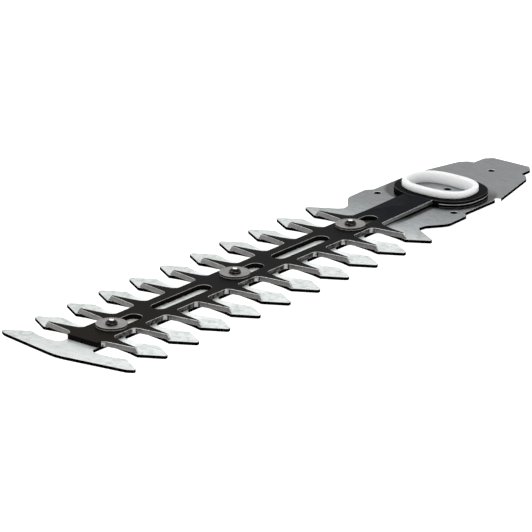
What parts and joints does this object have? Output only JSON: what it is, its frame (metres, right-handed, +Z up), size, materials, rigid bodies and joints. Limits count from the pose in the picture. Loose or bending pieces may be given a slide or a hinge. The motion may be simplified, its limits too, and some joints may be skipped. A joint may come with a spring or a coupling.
{
  "type": "hedge trimmer blade cartridge",
  "caption": "Double-sided hedge trimmer blade cartridge: fixed steel comb with tang, sliding coated comb with riveted guides and a nylon drive bush.",
  "frame": {"origin": "on the ground plane under the middle of the bounding box; the rivet heads stand on z = 0", "axes": "+X from the front guard to the rear end of the tang, along the blades; +Z up through the blade stack, from the rivet heads to the cap discs; +Y across the teeth"},
  "size_m": [0.2916, 0.0654, 0.0083],
  "materials": {
    "blade_steel": "ground, bright, with fine diagonal scratches",
    "black_coating": "satin black coating, ground bare on the tooth flanks",
    "black_carrier": "fine matt",
    "white_nylon": "moulded, satin",
    "cap_steel": "turned, with faint rings",
    "stud_steel": "peened, dark, glossy",
    "sleeve_steel": "ground"
  },
  "bodies": {
    "fixed_comb": {"lower_blade": "blade_steel", "guide_stud_front": "stud_steel", "backing_washer_front": "cap_steel", "guide_sleeve_front": "sleeve_steel", "slide_washer_front": "cap_steel", "cap_disc_front": "cap_steel", "guide_stud_middle": "stud_steel", "backing_washer_middle": "cap_steel", "guide_sleeve_middle": "sleeve_steel", "slide_washer_middle": "cap_steel", "cap_disc_middle": "cap_steel", "guide_stud_rear": "stud_steel", "backing_washer_rear": "cap_steel", "guide_sleeve_rear": "sleeve_steel", "slide_washer_rear": "cap_steel", "cap_disc_rear": "cap_steel"},
    "moving_comb": {"upper_blade": "black_coating", "eye_carrier": "black_carrier", "drive_bush": "white_nylon"}
  },
  "joints": [
    {"name": "blade_stroke", "type": "slide", "parent": "fixed_comb", "child": "moving_comb", "axis": [-1, 0, 0], "range_m": [0, 0.0085]}
  ]
}
